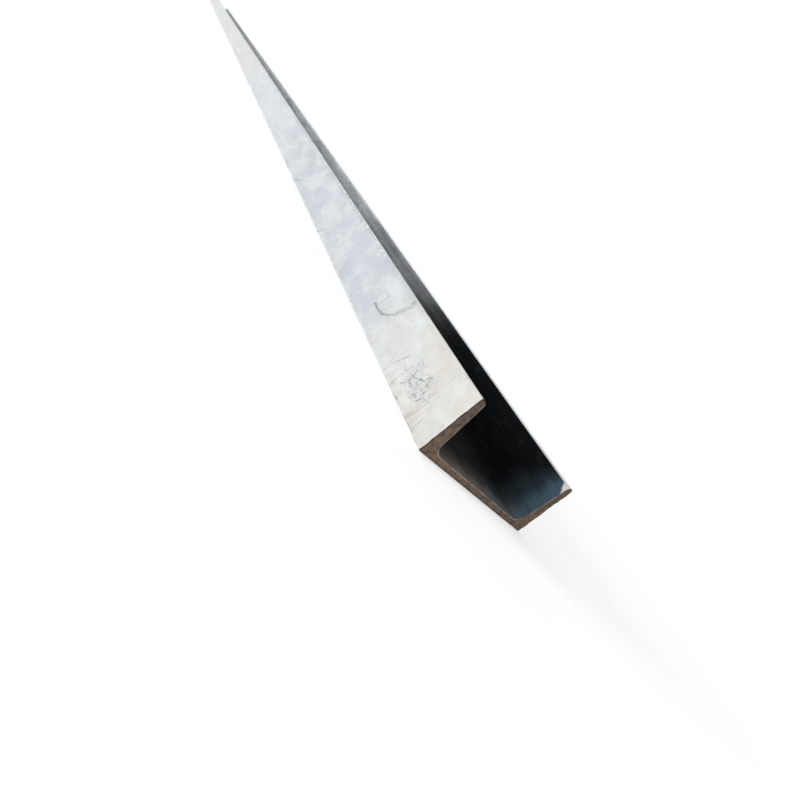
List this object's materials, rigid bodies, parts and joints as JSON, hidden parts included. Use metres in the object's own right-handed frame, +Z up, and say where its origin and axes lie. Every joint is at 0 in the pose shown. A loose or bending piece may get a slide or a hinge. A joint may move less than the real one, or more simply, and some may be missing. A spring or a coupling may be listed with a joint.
{
  "type": "steel channel",
  "caption": "Straight length of hot-rolled steel channel with tapered flanges, rounded roots and toes, and plain cut ends, lying on its web.",
  "frame": {"origin": "middle of the web's back, halfway along the length", "axes": "+X across the depth, from flange to flange; +Y along the length; +Z up, from the web's back towards the toes"},
  "size_m": [0.16, 6, 0.063],
  "materials": {
    "rolled_steel": "mill scale, dull grey, rusty cut ends"
  },
  "bodies": {
    "root": {"steel_channel": "rolled_steel"}
  },
  "joints": []
}
